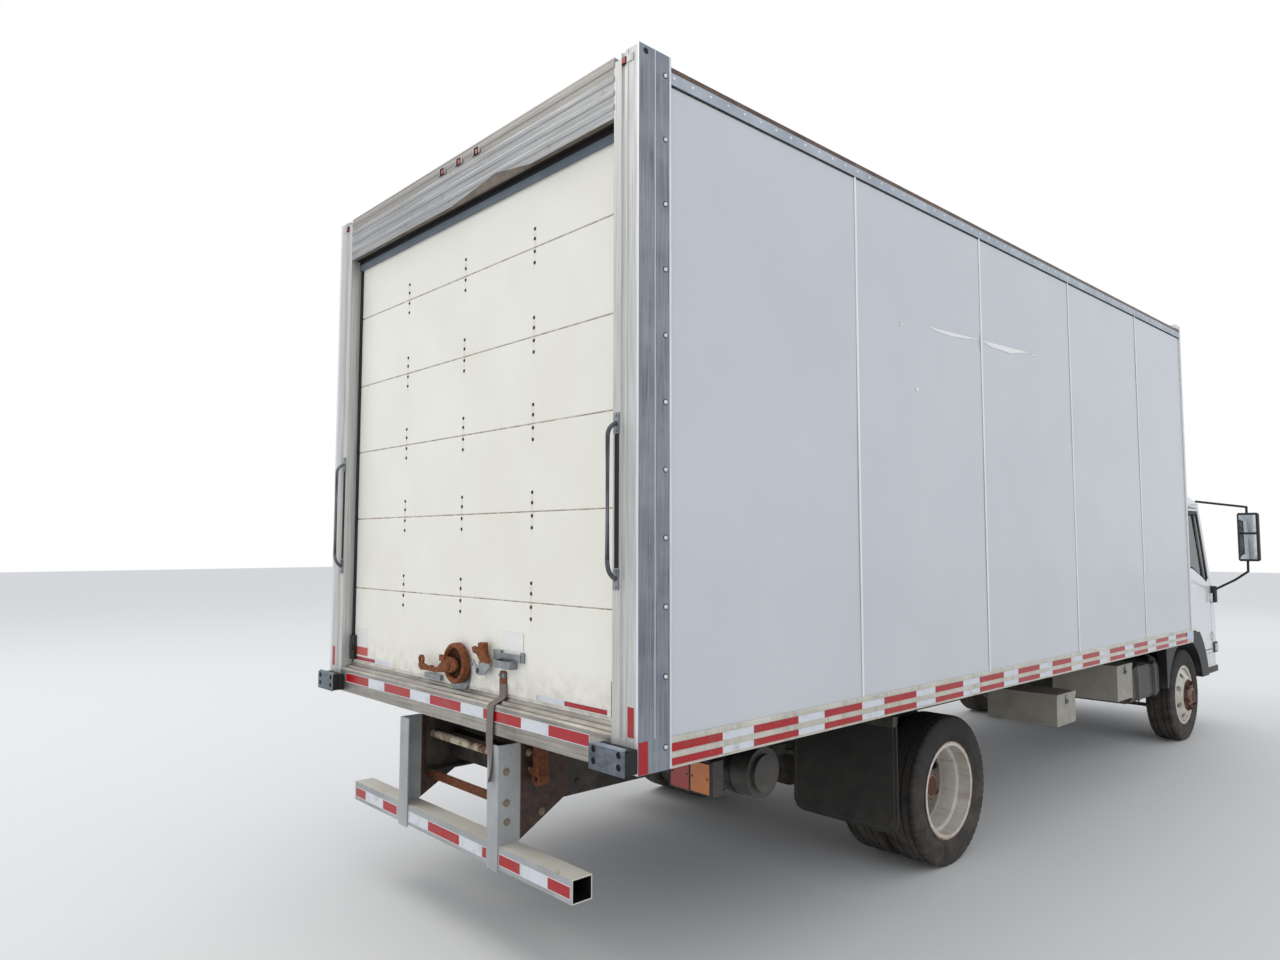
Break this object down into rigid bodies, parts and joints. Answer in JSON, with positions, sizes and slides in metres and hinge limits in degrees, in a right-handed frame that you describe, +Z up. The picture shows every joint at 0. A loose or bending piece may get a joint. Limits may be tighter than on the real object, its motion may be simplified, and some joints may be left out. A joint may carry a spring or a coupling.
{
  "type": "box truck",
  "caption": "Low-cab box truck with a dry freight body, roll-up rear door, underride guard, twin rear wheels, tilting cab and steered front wheels.",
  "frame": {"origin": "centre of the whole vehicle's bounding box on the road under the tyres", "axes": "+X forwards along the vehicle, +Y to the driver's left hand, +Z up"},
  "size_m": [8.286, 2.82, 3.62],
  "materials": {
    "body_white": "gloss",
    "door_cream": "satin",
    "cab_white": "gloss",
    "frame_black": "satin",
    "wheel_white": "satin",
    "tyre_rubber": "matte",
    "black_rubber": "matte",
    "black_plastic": "matte",
    "bare_aluminium": "satin",
    "galvanised": "satin",
    "rusty_steel": "matte",
    "engine_iron": "matte",
    "grey_metal": "satin",
    "window_glass": "gloss",
    "clear_lens": "gloss",
    "red_lens": "gloss",
    "amber_lens": "gloss",
    "seat_fabric": "matte",
    "strap_fabric": "matte"
  },
  "bodies": {
    "chassis": {"air_tank": "grey_metal", "amber_lamps": "amber_lens", "body_floor": "frame_black", "dock_plates": "galvanised", "dock_rubbers": "black_rubber", "door_lock": "rusty_steel", "engine_block": "engine_iron", "equipment_boxes": "bare_aluminium", "exhaust": "rusty_steel", "front_axle": "frame_black", "front_bumper": "cab_white", "front_corners": "body_white", "front_wall": "body_white", "fuel_tank": "frame_black", "grab_handles": "frame_black", "ladder_frame": "frame_black", "leaf_springs": "frame_black", "mud_flaps": "black_rubber", "pull_strap": "strap_fabric", "rear_axle": "frame_black", "rear_header": "bare_aluminium", "rear_posts": "bare_aluminium", "rear_sill": "bare_aluminium", "red_lamps": "red_lens", "roll_door": "door_cream", "roof_panel": "body_white", "side_rails": "bare_aluminium", "side_wall_left": "body_white", "side_wall_right": "body_white", "tail_braces": "frame_black", "tail_brackets": "frame_black", "underride_guard": "galvanised"},
    "cab": {"cab_back": "cab_white", "cab_floor": "cab_white", "cab_front": "cab_white", "cab_glass": "window_glass", "cab_lamps": "amber_lens", "cab_roof": "cab_white", "cab_sides": "cab_white", "dashboard": "black_plastic", "front_fenders": "black_plastic", "grille": "black_plastic", "headlamps": "clear_lens", "mirrors": "black_plastic", "seat_pads": "seat_fabric"},
    "door_left": {"cab_door_left": "cab_white", "door_glass_left": "window_glass"},
    "door_right": {"cab_door_right": "cab_white", "door_glass_right": "window_glass"},
    "steer_left": {"knuckle_left": "frame_black"},
    "steer_right": {"knuckle_right": "frame_black"},
    "tie_rod": {"tie_rod": "frame_black"},
    "wheel_front_left": {"front_rim_left": "wheel_white", "front_tyre_left": "tyre_rubber"},
    "wheel_front_right": {"front_rim_right": "wheel_white", "front_tyre_right": "tyre_rubber"},
    "wheels_rear_left": {"rear_rims_left": "wheel_white", "rear_tyres_left": "tyre_rubber"},
    "wheels_rear_right": {"rear_rims_right": "wheel_white", "rear_tyres_right": "tyre_rubber"}
  },
  "joints": [
    {"name": "cab_tilt", "type": "hinge", "parent": "chassis", "child": "cab", "pos_m": [4.013, 0, 0.76], "axis": [0, 1, 0], "range_deg": [0, 45]},
    {"name": "door_left_hinge", "type": "hinge", "parent": "cab", "child": "door_left", "pos_m": [3.868, 1.006, 1.05], "axis": [0, 0, -1], "range_deg": [0, 70]},
    {"name": "door_right_hinge", "type": "hinge", "parent": "cab", "child": "door_right", "pos_m": [3.868, -1.006, 1.05], "axis": [0, 0, 1], "range_deg": [0, 70]},
    {"name": "steer_left_kingpin", "type": "hinge", "parent": "chassis", "child": "steer_left", "pos_m": [2.905, 0.77, 0.403], "axis": [0, 0, 1], "range_deg": [-35, 35]},
    {"name": "steer_right_kingpin", "type": "hinge", "parent": "chassis", "child": "steer_right", "pos_m": [2.905, -0.77, 0.403], "axis": [0, 0, 1], "range_deg": [-35, 35]},
    {"name": "tie_rod_pivot", "type": "hinge", "parent": "steer_left", "child": "tie_rod", "pos_m": [2.725, 0.77, 0.326], "axis": [0, 0, 1], "range_deg": [-35, 35]},
    {"name": "wheel_front_left_spin", "type": "hinge", "parent": "steer_left", "child": "wheel_front_left", "pos_m": [2.905, 0.912, 0.403], "axis": [0, 1, 0], "continuous": true},
    {"name": "wheel_front_right_spin", "type": "hinge", "parent": "steer_right", "child": "wheel_front_right", "pos_m": [2.905, -0.912, 0.403], "axis": [0, 1, 0], "continuous": true},
    {"name": "wheels_rear_left_spin", "type": "hinge", "parent": "chassis", "child": "wheels_rear_left", "pos_m": [-1.565, 0.884, 0.403], "axis": [0, 1, 0], "continuous": true},
    {"name": "wheels_rear_right_spin", "type": "hinge", "parent": "chassis", "child": "wheels_rear_right", "pos_m": [-1.565, -0.884, 0.403], "axis": [0, 1, 0], "continuous": true}
  ],
  "couplings": [
    {"joint": "steer_right_kingpin", "follows": "steer_left_kingpin", "ratio": 1},
    {"joint": "tie_rod_pivot", "follows": "steer_left_kingpin", "ratio": -1}
  ]
}
